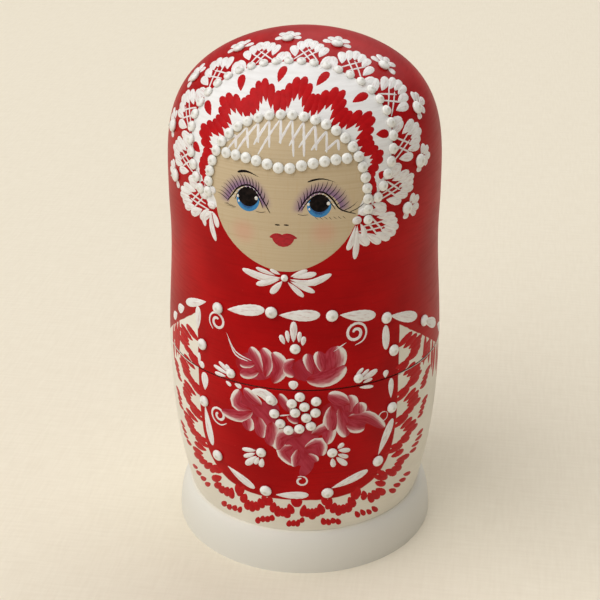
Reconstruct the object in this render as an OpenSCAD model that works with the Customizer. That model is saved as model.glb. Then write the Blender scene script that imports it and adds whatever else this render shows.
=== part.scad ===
// Matryoshka: a set of seven turned and painted wooden dolls, each inside the next.
// Six dolls are hollow and part in two halves at the seam, and the smallest is solid.
// Front at -Y, +Z up, origin at the centre of the largest doll's base.

/* [Outline of the largest doll] */
// Height from the base to the crown
doll_h = 155; // [140:1:190]
// Radius of the plinth on the table
plinth_r = 40; // [38:0.5:44]
// Height of the rounded plinth
plinth_h = 12.5; // [8:0.5:18]
// Radius of the waist, where the body rises from the plinth
waist_r = 36; // [33:0.5:38]
// Greatest radius of the body
body_r = 41; // [40:0.5:46]
// Height of the greatest radius
body_z = 62; // [55:1:66]
// How quickly the body swells above the plinth
body_power = 2.6; // [2:0.1:3.2]
// Radius of the neck
neck_r = 39.3; // [37.5:0.1:40.5]
// Height of the neck
neck_z = 98.5; // [90:0.5:103]
// Radius of the head
head_r = 39.5; // [38:0.1:41]
// Height of the widest part of the head
head_z = 108; // [105:1:116]
// Squareness of the crown along its height
crown_power = 3.85; // [2:0.05:4.5]
// Roundness of the crown at its top
crown_root = 1.77; // [1.5:0.01:2.2]

/* [Turning] */
// Wall of the largest doll, which shrinks with each smaller doll
wall = 5.5; // [4:0.1:6.5]
// Height of the floor of the hollow above the plinth
floor_rise = 3.5; // [2:0.5:6]
// Wood left above the hollow at the crown
crown_t = 12; // [8:0.5:15]
// Height of the seam between the two halves
seam_z = 63.5; // [58:0.5:70]
// Height of the lip that the upper half slides over
lip_h = 9; // [6:0.5:12]
// Radial gap between the lip and its socket, at every size of doll
lip_gap = 0.1; // [0.05:0.01:0.15]
// Gap above the lip inside the socket
lip_end_gap = 0.3; // [0.2:0.1:1]
// Eased edge of each half at the seam
seam_ease = 0.3; // [0.1:0.05:0.6]
// How far the plinth of a smaller doll stands out from its waist, at the size of the largest doll
inner_flare = 4; // [2:0.5:6]
// Gap around a doll in the hollow of the next
nest_gap = 0.6; // [0.4:0.1:2]
// Gap left under a doll that stands on the floor of the hollow
stand_gap = 0.05; // [0.03:0.01:0.2]
// Least gap above the crown of a doll in the hollow of the next
head_gap = 1; // [0.5:0.1:4]

/* [Pearls of relief paint] */
// Diameter of the pearls on the head
pearl_d = 2.6; // [2:0.1:3]
// Height of those pearls
pearl_h = 1.1; // [0.8:0.1:1.3]
// Least gap between neighbouring pearls on the forehead and round the hair
pearl_gap = 0.35; // [0.2:0.05:1]
// Least gap between neighbouring pearls along the headdress
headdress_gap = 0.7; // [0.3:0.05:1.5]
// Diameter of the single beads in the flowers and the apron border
bead_d = 3.4; // [2.8:0.1:4]
// Height of those beads
bead_h = 1.3; // [1:0.1:1.5]
// Diameter of the berries in the apron flower
berry_d = 2.95; // [2.2:0.05:3.2]
// Height of the berries
berry_h = 1.2; // [0.9:0.1:1.3]
// Least gap between neighbouring berries
berry_gap = 0.2; // [0.15:0.05:0.8]
// Diameter of the small bead at the knot of the bow
knot_d = 2; // [1.6:0.1:3]
// Height of that bead
knot_h = 0.9; // [0.7:0.1:1.2]
// Gap left under a pearl, so that it rests on the wood and doesn't cut into it
seat_gap = 0.03; // [0.02:0.01:0.1]

/* [Strings of pearls on the head] */
// Height of the centre of the strings above the widest part of the head
string_rise = 15; // [10:0.5:18]
// Depth of the hair string behind the front of the forehead
hair_depth = 5.5; // [4:0.1:7]
// Depth of the headdress string behind the front of the forehead, at its centre
headdress_depth = 8.7; // [7.5:0.1:11]
// Depth of the ring of flowers behind the front of the forehead, at its centre
flower_depth = 18.4; // [16:0.1:22]
// Backward lean of the headdress string, in mm for each mm of height
headdress_lean = 0.4; // [0.2:0.05:0.6]
// Backward lean of the ring of flowers
flower_lean = 0.42; // [0.2:0.02:0.6]
// Angle from the top of the head down to the left ends of the strings
string_left = 100; // [90:1:110]
// Angle from the top of the head down to the right ends of the strings
string_right = 114; // [90:1:116]
// Angle from the top of the head down to the leftmost flower
flower_left = 97.5; // [85:0.5:105]
// Angle from the top of the head down to the rightmost flower
flower_right = 108; // [85:0.5:112]
// Number of flowers on the headdress
flower_count = 10; // [6:1:10]
// Height of the forehead string above the widest part of the head, at its middle
forehead_rise = 20.5; // [17:0.5:24]
// Height that the forehead string gains towards its ends
forehead_sweep = 2.5; // [0:0.5:4]

/* [Apron] */
// Offset of the apron's middle to the right of the face
apron_shift = 3; // [0:0.5:6]
// Half of the width between the border's side beads
border_half_w = 29.5; // [26:0.5:32]
// Height of the border's top above the seam
border_top = 23.5; // [20:0.5:26]
// Depth of the border's bottom below the seam
border_bottom = 36; // [32:0.5:40]
// Distance between the beads along the border
border_step = 16.6; // [14:0.2:19]
// Distance from the seam down to the first side bead of the lower half
border_start = 10; // [4:0.5:12]
// Fullness of the border's lower corners, less being squarer
border_power = 0.45; // [0.4:0.05:1]
// Offset of the top row's beads to the right of the apron's middle, as a share of their distance
border_lead = 0.6; // [0.4:0.05:0.7]
// Fall of the top border to each side, in mm for each square mm across
border_fall = 0.0052; // [0.003:0.0002:0.007]
// Offset of the flower's heart to the right of the apron's middle
flower_shift = 1.35; // [0:0.05:3]
// Height of the bow under the chin above the seam
bow_rise = 34; // [31:0.5:37]

/* [Hidden] */
red = "#b01c22";
cream = "#ded3bb";
pearl_white = "#f2efe8";
$fn = 96;
plinth_steps = 6;
body_steps = 14;
neck_steps = 10;
head_steps = 4;
crown_steps = 16;
floor_z = plinth_h + floor_rise;
hollow_top = doll_h - crown_t;
string_steps = 60;
turn_step = 0.5;
berry_pitch = berry_d + berry_gap;
// Berries around the middle of the flower, as [across, up] in steps of one berry
berry_places = [
    [0, 1.75], [1.43, 1.27], [-0.72, 1.04], [0.4, 0.73], [-0.43, 0.1], [1.38, 0.1], [-2.3, -0.13],
    [0.56, -0.41], [0.97, -1.27], [-1.76, -1.11], [-1.03, -1.75], [-0.05, -1.56], [-2.62, 1.24]];
// The topmost berry stays just below the seam
flower_z = seam_z - seam_ease - berry_d / 2 - berry_places[0][1] * berry_pitch;
// Sprigs on the upper half and on the lower half, as [across, up] from the seam
sprigs_above = [[0, 13], [-19, 2.6], [18, 2.6]];
sprigs_below = [[-10, -21.5], [10.5, -20.8]];

// Easing from 0 to 1 with level ends
function ease(u) = u * u * (3 - 2 * u);

// Shape of the crown: 1 at its foot, 0 at its top
function crown(u) = pow(max(0, 1 - pow(u, crown_power)), 1 / crown_root);

// Outer radius of the largest doll at a height, over a plinth of a given radius
function outline_r(z, foot = plinth_r) =
    z <= plinth_h ? waist_r + (foot - waist_r) * sqrt(max(0, 1 - pow(z / plinth_h, 2)))
    : z <= body_z ? body_r - (body_r - waist_r) * pow((body_z - z) / (body_z - plinth_h), body_power)
    : z <= neck_z ? body_r + (neck_r - body_r) * ease((z - body_z) / (neck_z - body_z))
    : z <= head_z ? neck_r + (head_r - neck_r) * ease((z - neck_z) / (head_z - neck_z))
    : head_r * crown((z - head_z) / (doll_h - head_z));

// Radius of the hollow at a height
function hollow_r(z) =
    z <= head_z ? outline_r(z) - wall
    : (head_r - wall) * crown((z - head_z) / (hollow_top - head_z));

// Heights at which the outline and the hollow change direction
function rising(low, high, steps) = [for (i = [0 : steps]) low + (high - low) * i / steps];
function domed(low, high, steps) = [for (i = [0 : steps]) low + (high - low) * sin(90 * i / steps)];
outline_z = concat(
    domed(0, plinth_h, plinth_steps),
    [for (i = [1 : body_steps]) rising(plinth_h, body_z, body_steps)[i]],
    [for (i = [1 : neck_steps]) rising(body_z, neck_z, neck_steps)[i]],
    [for (i = [1 : head_steps]) rising(neck_z, head_z, head_steps)[i]],
    [for (i = [1 : crown_steps]) domed(head_z, doll_h, crown_steps)[i]]);
hollow_z = concat(
    rising(floor_z, body_z, body_steps),
    [for (i = [1 : neck_steps]) rising(body_z, neck_z, neck_steps)[i]],
    [for (i = [1 : head_steps]) rising(neck_z, head_z, head_steps)[i]],
    [for (i = [1 : crown_steps]) domed(head_z, hollow_top, crown_steps)[i]]);

// Radius of the plinth at the size of the largest doll: the smaller dolls have their own
function foot_r(k) = k == 1 ? plinth_r : waist_r + inner_flare;

// Size of the next smaller doll: its plinth stands on the floor of the hollow, its body passes the mouth,
// the neck above lifts clear of its head, and it keeps off the crown
function next_size(s) = min(
    (s * hollow_r(floor_z) - nest_gap) / foot_r(2),
    (s * hollow_r(seam_z) - nest_gap) / body_r,
    (s * (min(neck_r, head_r) - wall) - nest_gap) / head_r,
    (s * (hollow_top - floor_z) - head_gap) / doll_h);
function size_of(k) = k == 1 ? 1 : next_size(size_of(k - 1));
function base_of(k) = k == 1 ? 0 : base_of(k - 1) + floor_z * size_of(k - 1) + stand_gap;

// Radii of the joint between the halves
function socket_r(s) = s * (outline_r(seam_z) - wall / 2);
function lip_r(s) = socket_r(s) - lip_gap;
function lip_inner_r(s) = s * hollow_r(seam_z);

function outline_points(k, low, high) =
    [for (z = outline_z) if (z > low && z < high) size_of(k) * [outline_r(z, foot_r(k)), z]];
function hollow_points(s, low, high) =
    [for (i = [len(hollow_z) - 1 : -1 : 0])
        let (z = hollow_z[i])
        if (z > low && z < high) s * [hollow_r(z), z]];

// Lower half: plinth, cup and lip, turned in one piece
module doll_lower(k) {
    s = size_of(k);
    seam_r = outline_r(seam_z);
    lip_top = s * (seam_z + lip_h);
    color(cream)
        translate([0, 0, base_of(k)])
            rotate_extrude()
                polygon(concat(
                    [[0, 0], s * [foot_r(k), 0]],
                    outline_points(k, 0, seam_z - seam_ease),
                    [s * [outline_r(seam_z - seam_ease), seam_z - seam_ease],
                     s * [seam_r - seam_ease, seam_z],
                     [lip_r(s), s * seam_z],
                     [lip_r(s), lip_top - s * seam_ease],
                     [lip_r(s) - s * seam_ease, lip_top],
                     [lip_inner_r(s), lip_top],
                     [lip_inner_r(s), s * seam_z]],
                    hollow_points(s, floor_z, seam_z),
                    [s * [hollow_r(floor_z), floor_z], s * [0, floor_z]]));
}

// Upper half: head and shoulders over a hollow, with the socket for the lip at its mouth
module doll_upper(k) {
    s = size_of(k);
    seam_r = outline_r(seam_z);
    socket_top = s * (seam_z + lip_h) + lip_end_gap;
    color(red)
        translate([0, 0, base_of(k)])
            rotate_extrude()
                polygon(concat(
                    [[socket_r(s), s * seam_z],
                     s * [seam_r - seam_ease, seam_z],
                     s * [outline_r(seam_z + seam_ease), seam_z + seam_ease]],
                    outline_points(k, seam_z + seam_ease, doll_h),
                    [s * [0, doll_h], s * [0, hollow_top]],
                    hollow_points(s, socket_top / s, hollow_top),
                    [[s * hollow_r(socket_top / s), socket_top],
                     [socket_r(s), socket_top]]));
}

// Smallest doll, turned in one piece
module doll_solid(k) {
    s = size_of(k);
    color(red)
        translate([0, 0, base_of(k)])
            rotate_extrude()
                polygon(concat(
                    [[0, 0], s * [foot_r(k), 0]],
                    outline_points(k, 0, doll_h),
                    [s * [0, doll_h]]));
}

// Drop of relief paint with a flat foot: a cap of a sphere
module paint_drop(d, h) {
    ball_r = (d * d / 4 + h * h) / (2 * h);
    color(pearl_white)
        difference() {
            translate([0, 0, h - ball_r])
                sphere(ball_r);
            translate([-d * 2, -d * 2, -d * 4])
                cube(d * 4);
        }
}

// Sets a drop on the largest doll at an angle from the front and a height
slope_step = 0.05;
function tilt_at(z) =
    atan2(outline_r(z - slope_step) - outline_r(z + slope_step), 2 * slope_step);
module on_doll(angle, z) {
    rotate([0, 0, angle - 90])
        translate([outline_r(z), 0, z])
            rotate([0, 90 - tilt_at(z), 0])
                translate([0, 0, seat_gap])
                    children();
}

// Strings on the head lie in leaning planes behind the front of the forehead.
// A point is found on the surface along a ray from the middle of its plane.
string_z = head_z + string_rise;
forehead_z = head_z + forehead_rise;
forehead_r = outline_r(forehead_z);
function ray_point(depth, lean, turn, reach) =
    let (up = reach * cos(turn) / sqrt(1 + lean * lean))
    [reach * sin(turn), depth - forehead_r + lean * up, string_z + up];
function inside(p) = p[2] < doll_h && norm([p[0], p[1]]) < outline_r(p[2]);
function reach_of(depth, lean, turn, low = 0, high = doll_h, tries = 24) =
    tries == 0 ? low
    : let (middle = (low + high) / 2)
      inside(ray_point(depth, lean, turn, middle))
        ? reach_of(depth, lean, turn, middle, high, tries - 1)
        : reach_of(depth, lean, turn, low, middle, tries - 1);
function string_point(depth, lean, turn) = ray_point(depth, lean, turn, reach_of(depth, lean, turn));

// Running length along a list of points
function running(points, i = 0, sum = 0, out = []) =
    i == len(points) ? out
    : let (total = i == 0 ? 0 : sum + norm(points[i] - points[i - 1]))
      running(points, i + 1, total, concat(out, total));

// Drops in even steps along a string, as many as fit with a gap between them
module pearl_string(depth, lean, gap, left, right) {
    turns = rising(-left, right, string_steps);
    lengths = running([for (t = turns) string_point(depth, lean, t)]);
    table = [for (i = [0 : string_steps]) [lengths[i], turns[i]]];
    count = floor(lengths[string_steps] / (pearl_d + gap));
    for (i = [0 : count]) {
        p = string_point(depth, lean, lookup(i * lengths[string_steps] / count, table));
        on_doll(atan2(p[0], -p[1]), p[2])
            paint_drop(pearl_d, pearl_h);
    }
}

// Pearls round the hair
module hair_pearls() {
    pearl_string(hair_depth, 0, pearl_gap, string_left, string_right);
}

// The headdress string stops where its last pearl would touch the hair string
function clear_turn(turn, side) =
    norm(string_point(headdress_depth, headdress_lean, side * turn)
        - string_point(hair_depth, 0, side * turn)) > pearl_d + pearl_gap ? turn
    : clear_turn(turn - turn_step, side);

// Pearls along the edge of the headdress
module headdress_pearls() {
    pearl_string(
        headdress_depth, headdress_lean, headdress_gap,
        clear_turn(string_left, -1), clear_turn(string_right, 1));
}

// One bead at the heart of each flower on the headdress
module headdress_flower_beads() {
    for (i = [0 : flower_count - 1]) {
        turn = -flower_left + (flower_left + flower_right) * i / (flower_count - 1);
        p = string_point(flower_depth, flower_lean, turn);
        on_doll(atan2(p[0], -p[1]), p[2])
            paint_drop(bead_d, bead_h);
    }
}

// The forehead string stops where its end pearl would touch the hair string
forehead_end_z = forehead_z + forehead_sweep;
forehead_end_r = outline_r(forehead_end_z);
hair_line = [for (t = rising(-string_left, string_right, string_steps)) string_point(hair_depth, 0, t)];
function forehead_end(turn) = [forehead_end_r * sin(turn), -forehead_end_r * cos(turn), forehead_end_z];
function clear_forehead(turn) =
    min([for (p = hair_line) norm(p - forehead_end(turn))]) > pearl_d + pearl_gap ? turn
    : clear_forehead(turn - turn_step);

// Pearls across the forehead, between the two sides of the hair string
module forehead_pearls() {
    pearl_turn = (pearl_d + pearl_gap) / forehead_r * 180 / PI;
    half_turn = clear_forehead(acos((forehead_r - hair_depth) / forehead_end_r));
    count = floor(2 * half_turn / pearl_turn);
    for (i = [0 : count]) {
        part = 2 * i / count - 1;
        dip = 1 - abs(part);
        on_doll(part * half_turn, forehead_end_z - forehead_sweep * dip * dip)
            paint_drop(pearl_d, pearl_h);
    }
}

// Angle from the front for a distance across, measured round the body
function across_turn(across, z) = across / outline_r(z) * 180 / PI;
module on_body(across, z) {
    on_doll(across_turn(across, z), z)
        children();
}

// Bead at the knot of the bow
module bow_bead() {
    on_body(0, seam_z + bow_rise)
        paint_drop(knot_d, knot_h);
}

// Apron border below the seam: straight sides and a half-oval bottom
function border_place(turn) =
    [apron_shift + border_half_w * sin(turn), seam_z - border_bottom * pow(max(0, cos(turn)), border_power)];

// Beads of the apron border on the upper half: a falling top row, and one at each side
module apron_beads_upper() {
    for (i = [-2 : 2]) {
        across = apron_shift + (i + border_lead) * border_step;
        on_body(across, seam_z + border_top - border_fall * across * across)
            paint_drop(bead_d, bead_h);
    }
    for (side = [-1, 1])
        on_body(apron_shift + side * border_half_w, seam_z + border_step / 2)
            paint_drop(bead_d, bead_h);
}

// Beads of the apron border on the lower half, in even steps round its sides and bottom
module apron_beads_lower() {
    turns = rising(-90, 90, string_steps);
    lengths = running([for (t = turns) border_place(t)]);
    table = [for (i = [0 : string_steps]) [lengths[i], turns[i]]];
    run = lengths[string_steps] - 2 * border_start;
    count = floor(run / border_step);
    for (i = [0 : count]) {
        place = border_place(lookup(border_start + i * run / count, table));
        on_body(place[0], place[1])
            paint_drop(bead_d, bead_h);
    }
}

// Berries at the middle of the flower, and the beads of the sprigs below the seam
module flower_berries() {
    for (b = berry_places)
        on_body(apron_shift + flower_shift + b[0] * berry_pitch, flower_z + b[1] * berry_pitch)
            paint_drop(berry_d, berry_h);
    for (b = sprigs_below)
        on_body(apron_shift + b[0], seam_z + b[1])
            paint_drop(berry_d, berry_h);
}

// Beads of the sprigs above the seam
module sprig_beads() {
    for (b = sprigs_above)
        on_body(apron_shift + b[0], seam_z + b[1])
            paint_drop(berry_d, berry_h);
}

doll_lower(1);  // doll_1_lower
doll_upper(1);  // doll_1_upper
doll_lower(2);  // doll_2_lower
doll_upper(2);  // doll_2_upper
doll_lower(3);  // doll_3_lower
doll_upper(3);  // doll_3_upper
doll_lower(4);  // doll_4_lower
doll_upper(4);  // doll_4_upper
doll_lower(5);  // doll_5_lower
doll_upper(5);  // doll_5_upper
doll_lower(6);  // doll_6_lower
doll_upper(6);  // doll_6_upper
doll_solid(7);  // doll_7_solid
forehead_pearls();
hair_pearls();
headdress_pearls();
headdress_flower_beads();
bow_bead();
apron_beads_upper();
apron_beads_lower();
sprig_beads();
flower_berries();
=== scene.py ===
import math
import random

import bmesh
import bpy
from mathutils import Matrix, Vector


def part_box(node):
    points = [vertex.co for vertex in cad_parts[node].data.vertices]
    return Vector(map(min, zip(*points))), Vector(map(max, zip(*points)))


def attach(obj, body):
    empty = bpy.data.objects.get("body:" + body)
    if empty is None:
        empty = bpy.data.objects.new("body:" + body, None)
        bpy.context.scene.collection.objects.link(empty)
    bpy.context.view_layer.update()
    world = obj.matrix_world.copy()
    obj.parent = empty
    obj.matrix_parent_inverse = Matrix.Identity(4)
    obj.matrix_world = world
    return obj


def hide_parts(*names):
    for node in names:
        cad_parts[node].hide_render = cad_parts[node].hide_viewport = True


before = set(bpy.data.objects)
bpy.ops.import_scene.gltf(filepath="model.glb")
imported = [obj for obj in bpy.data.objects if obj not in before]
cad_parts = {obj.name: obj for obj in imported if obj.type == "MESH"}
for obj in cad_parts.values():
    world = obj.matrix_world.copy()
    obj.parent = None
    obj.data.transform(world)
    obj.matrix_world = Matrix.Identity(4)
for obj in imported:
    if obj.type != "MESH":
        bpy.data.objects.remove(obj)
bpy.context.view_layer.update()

# Turned halves. Each hollow doll is a cup and a cap of linden wood, turned on a lathe and painted outside.
# The mouth of the cap slides over the thin lip of the cup. The smallest doll is turned in one piece.
# All the dolls have one form: it is drawn once, in the largest doll's millimetres, and scaled for each.
MM = 0.001
doll_count = 7
doll_h = 155.0
plinth_r = 40.0
plinth_h = 12.5
waist_r = 36.0
body_r = 41.0
body_z = 62.0
body_power = 2.6
neck_r = 39.3
neck_z = 98.5
head_r = 39.5
head_z = 108.0
crown_power = 3.85
crown_root = 1.77
wall = 5.5
floor_z = 16.0
hollow_top = 143.0
seam_z = 63.5
seam_ease = 0.3
lip_h = 9.0
lip_gap = 0.1
lip_end_gap = 0.3
seat_gap = 0.02

dolls = {}
for k in range(1, doll_count + 1):
    low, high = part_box(f"doll_{k}_lower" if k < doll_count else f"doll_{k}_solid")
    dolls[k] = ((high[0] - low[0]) / (2 * body_r * MM), low[2] / MM)


def ease(u):
    """Runs from 0 to 1 with level ends."""
    return u * u * (3 - 2 * u)


def crown(u):
    """How much of the head's radius is left at that share of the crown's height."""
    return max(0.0, 1 - u ** crown_power) ** (1 / crown_root)


def outline_r(z):
    """Outer radius of the largest doll at height z."""
    if z <= plinth_h:
        return waist_r + (plinth_r - waist_r) * math.sqrt(1 - (z / plinth_h) ** 2)
    if z <= body_z:
        return body_r - (body_r - waist_r) * ((body_z - z) / (body_z - plinth_h)) ** body_power
    if z <= neck_z:
        return body_r + (neck_r - body_r) * ease((z - body_z) / (neck_z - body_z))
    if z <= head_z:
        return neck_r + (head_r - neck_r) * ease((z - neck_z) / (head_z - neck_z))
    return head_r * crown(min(1.0, (z - head_z) / (doll_h - head_z)))


def hollow_r(z):
    """Inner radius of the largest doll at height z."""
    if z <= head_z:
        return outline_r(z) - wall
    return (head_r - wall) * crown(min(1.0, (z - head_z) / (hollow_top - head_z)))


def rising(low, high, steps):
    """Evenly spaced heights from low to high."""
    return [low + (high - low) * i / steps for i in range(steps + 1)]


def domed(low, high, steps):
    """Heights from low to high that lie closer together near the high end."""
    return [low + (high - low) * math.sin(math.pi / 2 * i / steps) for i in range(steps + 1)]


def cup_profile(scale):
    """Radius and height along a lower half, from the middle of its base to the middle of its floor."""
    seam_r = outline_r(seam_z)
    lip_r = seam_r - wall / 2 - lip_gap / scale
    lip_top = seam_z + lip_h
    outside = domed(0, plinth_h, 14)[:-1] + rising(plinth_h, seam_z - seam_ease, 44)
    inside = rising(floor_z, seam_z, 20)
    profile = [(0, 0)] + [(outline_r(z), z) for z in outside]
    profile += [(seam_r - seam_ease, seam_z), (lip_r, seam_z), (lip_r, lip_top - seam_ease)]
    profile += [(lip_r - seam_ease, lip_top), (hollow_r(seam_z), lip_top)]
    return profile + [(hollow_r(z), z) for z in reversed(inside)] + [(0, floor_z)]


def cap_profile(scale):
    """Radius and height along an upper half, from the top of its crown to the top of its hollow."""
    seam_r = outline_r(seam_z)
    socket_r = seam_r - wall / 2
    socket_top = seam_z + lip_h + lip_end_gap / scale
    outside = rising(seam_z + seam_ease, head_z, 36)[:-1] + domed(head_z, doll_h, 56)
    inside = rising(socket_top, head_z, 12)[:-1] + domed(head_z, hollow_top, 20)
    profile = [(outline_r(z), z) for z in reversed(outside)]
    mouth_z = seam_z + seat_gap
    profile += [(seam_r - seam_ease, mouth_z), (socket_r, mouth_z), (socket_r, socket_top)]
    return profile + [(hollow_r(z), z) for z in inside]


def solid_profile():
    """Radius and height along the smallest doll, from the middle of its base to the top of its crown."""
    outside = domed(0, plinth_h, 14)[:-1] + rising(plinth_h, head_z, 72)[:-1] + domed(head_z, doll_h, 56)
    return [(0, 0)] + [(outline_r(z), z) for z in outside]


def turn_wood(profile, steps):
    """Spins a profile into wood, with the painted outside as material 0 and the bare wood as material 1."""
    bm = bmesh.new()
    verts = [bm.verts.new((r, 0, z)) for r, z in profile]
    edges = [bm.edges.new(pair) for pair in zip(verts, verts[1:])]
    bmesh.ops.spin(bm, geom=verts + edges, axis=(0, 0, 1), cent=(0, 0, 0), angle=2 * math.pi, steps=steps,
                   use_merge=True)
    bmesh.ops.remove_doubles(bm, verts=bm.verts, dist=0.001)
    bmesh.ops.recalc_face_normals(bm, faces=bm.faces)
    paint_depth = 0.25
    for face in bm.faces:
        middle = face.calc_center_median()
        painted = middle.z > 0.01 and middle.xy.length > outline_r(middle.z) - paint_depth
        face.material_index = 0 if painted else 1
    sharp = math.radians(32)
    for edge in bm.edges:
        edge.smooth = edge.calc_face_angle(0) < sharp
    return bm


def make_piece(name, bm, doll, body, materials):
    """Makes a piece of one doll from a drawing in the largest doll's millimetres.
    Its points keep their spots in the drawing as "place"."""
    place = bm.verts.layers.float_vector.get("place") or bm.verts.layers.float_vector.new("place")
    for vert in bm.verts:
        vert[place] = vert.co
    for face in bm.faces:
        face.smooth = True
    scale, base = dolls[doll]
    bm.transform(Matrix.Translation((0, 0, base * MM)) @ Matrix.Scale(scale * MM, 4))
    mesh = bpy.data.meshes.new(name)
    bm.to_mesh(mesh)
    bm.free()
    for material in materials:
        mesh.materials.append(material)
    piece = bpy.data.objects.new(name, mesh)
    bpy.context.scene.collection.objects.link(piece)
    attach(piece, body)
    return piece


class Wire:
    """A shader socket that takes part in expressions: each operator adds a Math node."""

    def __init__(self, tree, socket=None):
        self.tree = tree
        self.socket = socket

    def node(self, kind, settings, sockets, output=0):
        """Adds a node of that kind, sets its settings, then its sockets, and gives one of its outputs."""
        made = self.tree.nodes.new("ShaderNode" + kind)
        for name, value in settings.items():
            setattr(made, name, value)
        for key, value in sockets.items():
            if isinstance(value, Wire):
                self.tree.links.new(value.socket, made.inputs[key])
            else:
                made.inputs[key].default_value = value
        return Wire(self.tree, made.outputs[output])

    def math(self, operation, *operands):
        return self.node("Math", {"operation": operation}, dict(enumerate(operands)))

    def __add__(self, other):
        return self.math("ADD", self, other)

    __radd__ = __add__

    def __sub__(self, other):
        return self.math("SUBTRACT", self, other)

    def __rsub__(self, other):
        return self.math("SUBTRACT", other, self)

    def __mul__(self, other):
        return self.math("MULTIPLY", self, other)

    __rmul__ = __mul__

    def __truediv__(self, other):
        return self.math("DIVIDE", self, other)

    def __pow__(self, other):
        return self.math("POWER", self, other)

    def __abs__(self):
        return self.math("ABSOLUTE", self)

    def step(self, low, high):
        """Rises smoothly from 0 at low to 1 at high."""
        return self.node("MapRange", {"interpolation_type": "SMOOTHSTEP"}, {0: self, 1: low, 2: high})

    def mix(self, first, second):
        """The first colour where this is 0, the second where it is 1."""
        return self.node("Mix", {"data_type": "RGBA"}, {0: self, 6: first, 7: second}, 2)

    def parts(self):
        """The three parts of a vector."""
        made = self.node("SeparateXYZ", {}, {0: self}).socket.node
        return [Wire(self.tree, output) for output in made.outputs]

    def marks(self):
        """The two UV values of a point, from 0 to 1: along and across a stroke, or round and up a drop."""
        first, second, _ = self.node("UVMap", {}, {}).parts()
        return first, second

    def grain(self, stretch, detail=2.0):
        """Noise from 0 to 1 over this vector, which is stretched first."""
        scaled = self.node("VectorMath", {"operation": "MULTIPLY"}, {0: self, 1: stretch})
        return self.node("TexNoise", {}, {"Vector": scaled, "Scale": 1.0, "Detail": detail})

    def bump(self, depth):
        """A surface normal roughened by this value."""
        return self.node("Bump", {}, {"Strength": 0.5, "Distance": depth * MM, "Height": self})

    def feed(self, socket):
        self.tree.links.new(self.socket, socket)


def srgb(red, green, blue):
    """The linear colour of an sRGB colour in 0 to 255."""
    return tuple(((part / 255 + 0.055) / 1.055) ** 2.4 for part in (red, green, blue)) + (1.0,)


def start_material(name, roughness, coat, gloss=0.25):
    """A new material, its first wire, the place on the doll in millimetres and the sockets of its shader."""
    material = bpy.data.materials.new(name)
    material.use_nodes = True
    shader = material.node_tree.nodes["Principled BSDF"].inputs
    shader["Roughness"].default_value = roughness
    shader["Coat Weight"].default_value = coat
    shader["Coat Roughness"].default_value = 0.25
    shader["Specular IOR Level"].default_value = gloss
    wire = Wire(material.node_tree)
    place = wire.node("Attribute", {"attribute_name": "place"}, {}, "Vector")
    return material, wire, place, shader


apron_shift = 3.0
apron_half_w = 31.9
apron_drop = 38.2
apron_power = 3.6
belt_middle = 1.4
belt_half_w = 32.0
belt_z = 79.7
belt_slope = 0.66
forehead_r = 38.58
string_z = 123.0
headdress_depth = 8.7
headdress_lean = 0.4
ear_z = 115.0

red_sheen = (1.0, 0.35, 0.35, 1.0)
painted_wood, wire, place, shader = start_material("painted_wood", 0.4, 0.03, 0.1)
shader["Specular Tint"].default_value = red_sheen
x, y, z = place.parts()
ring_r = (x * x + y * y) ** 0.5
across = wire.math("ARCTAN2", x, 0 - y) * ring_r
wobble = (place.grain((0.5, 0.5, 0.5)) - 0.5) * 0.7
side = abs(across - apron_shift) / apron_half_w
drop = wire.math("MAXIMUM", (seam_z - z) / apron_drop, 0.0)
past_apron = (side ** apron_power + drop ** apron_power + wobble * 0.05).step(0.985, 1.015)
lower_half = (seam_z - z).step(-0.01, 0.01)
under_belt = (belt_z - belt_slope * (abs(across - belt_middle) - belt_half_w) - z + wobble).step(-0.15, 0.15)
skirt = past_apron * wire.math("MAXIMUM", lower_half, under_belt)
headdress = (headdress_depth - forehead_r + headdress_lean * (z - string_z) - y).step(-0.1, 0.1)
headdress = headdress * z.step(ear_z - 0.2, ear_z + 0.2)
cloudy = place.grain((0.06, 0.06, 0.06), 4.0)
streaky = place.grain((0.12, 0.12, 1.6), 3.0)
specks = place.grain((1.9, 1.9, 1.9), 1.0)
red = cloudy.step(0.3, 0.7).mix(srgb(156, 8, 12), srgb(176, 12, 15))
red = (streaky.step(0.45, 0.8) * 0.5).mix(red, srgb(144, 6, 10))
red = (specks.step(0.74, 0.8) * 0.25).mix(red, srgb(205, 80, 74))
cream = (cloudy + streaky * 0.4).step(0.45, 0.95).mix(srgb(231, 226, 212), srgb(221, 215, 200))
chips = place.grain((0.35, 0.35, 0.9), 2.0).step(0.76, 0.8)
bare_foot = chips.mix(srgb(219, 216, 206), srgb(158, 128, 94))
cream = z.step(plinth_h - 0.4, plinth_h + 0.2).mix(bare_foot, cream)
white_band = streaky.step(0.3, 0.9).mix(srgb(236, 235, 233), srgb(223, 220, 217))
coloured = headdress.mix(skirt.mix(red, cream), white_band)
# The thin dark line painted along the seam is painted shade in the groove between the halves.
seam = 1 - abs(z - seam_z).step(seam_ease * 0.4, seam_ease * 0.8)
seam.mix(coloured, srgb(62, 16, 16)).feed(shader["Base Color"])
(0.34 + streaky * 0.16).feed(shader["Roughness"])
(streaky + cloudy * 0.5).bump(0.05).feed(shader["Normal"])

bare_wood, wire, place, shader = start_material("bare_linden", 0.62, 0.0)
fibres = place.grain((1.2, 1.2, 0.05), 4.0)
turning = place.grain((0.02, 0.02, 3.2), 3.0)
wood = fibres.step(0.3, 0.75).mix(srgb(214, 188, 146), srgb(194, 163, 118))
(turning.step(0.45, 0.75) * 0.35).mix(wood, srgb(178, 144, 100)).feed(shader["Base Color"])
(turning + fibres * 0.4).bump(0.08).feed(shader["Normal"])

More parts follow.
